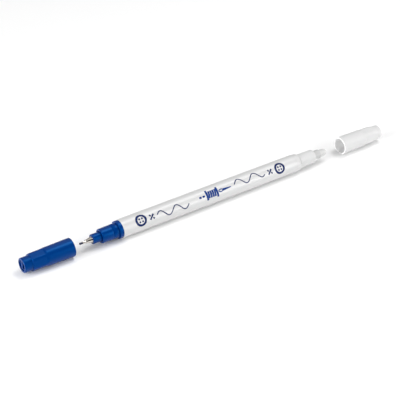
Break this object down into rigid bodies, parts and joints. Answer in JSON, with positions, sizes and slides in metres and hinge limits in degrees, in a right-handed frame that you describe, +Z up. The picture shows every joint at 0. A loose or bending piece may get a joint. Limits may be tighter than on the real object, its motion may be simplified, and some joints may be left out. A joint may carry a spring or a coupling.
{
  "type": "fabric marking pen",
  "caption": "Double-ended fabric marking pen with a blue fine end, a white broad end and a vented slide-on cap drawn off each end, lying in line.",
  "frame": {"origin": "on the surface that the pen lies on, midway between the two cap ends and under the pen's axis", "axes": "+X runs along the pen from the blue fine end to the white broad end, +Z is up"},
  "size_m": [0.2056, 0.009, 0.009],
  "materials": {
    "blue_plastic": "deep royal blue moulded polypropylene, semi-matte",
    "white_barrel": "white extruded barrel, satin",
    "white_plastic": "off-white moulded polypropylene, slightly frosted",
    "seal_plastic": "soft natural polyethylene",
    "chrome_metal": "polished steel",
    "dark_nib": "ink-wet plastic nib rod",
    "white_fibre": "pressed fibre, dry white",
    "inked_fibre": "bonded fibre soaked in blue ink",
    "clear_film": "thin clear film",
    "print_ink": "dark navy ink printed on the barrel"
  },
  "bodies": {
    "pen": {"barrel_tube": "white_barrel", "divider_plug": "white_plastic", "fine_section": "blue_plastic", "fine_nib_holder": "blue_plastic", "fine_nib_ferrule": "chrome_metal", "fine_nib_core": "dark_nib", "fine_reservoir_core": "inked_fibre", "fine_reservoir_film": "clear_film", "fine_breather_tube": "clear_film", "broad_section": "white_plastic", "broad_nib_holder": "white_plastic", "broad_nib": "white_fibre", "broad_reservoir_core": "white_fibre", "broad_reservoir_film": "clear_film", "broad_breather_tube": "clear_film"},
    "fine_cap": {"fine_cap_shell": "blue_plastic", "fine_cap_inner_seal": "seal_plastic", "fine_cap_end_plug": "blue_plastic"},
    "broad_cap": {"broad_cap_shell": "white_plastic", "broad_cap_inner_seal": "seal_plastic", "broad_cap_end_plug": "white_plastic"}
  },
  "joints": [
    {"name": "fine_cap_slide", "type": "slide", "parent": "pen", "child": "fine_cap", "axis": [1, 0, 0], "range_m": [0, 0.02328]},
    {"name": "broad_cap_slide", "type": "slide", "parent": "pen", "child": "broad_cap", "axis": [-1, 0, 0], "range_m": [0, 0.02742]}
  ]
}
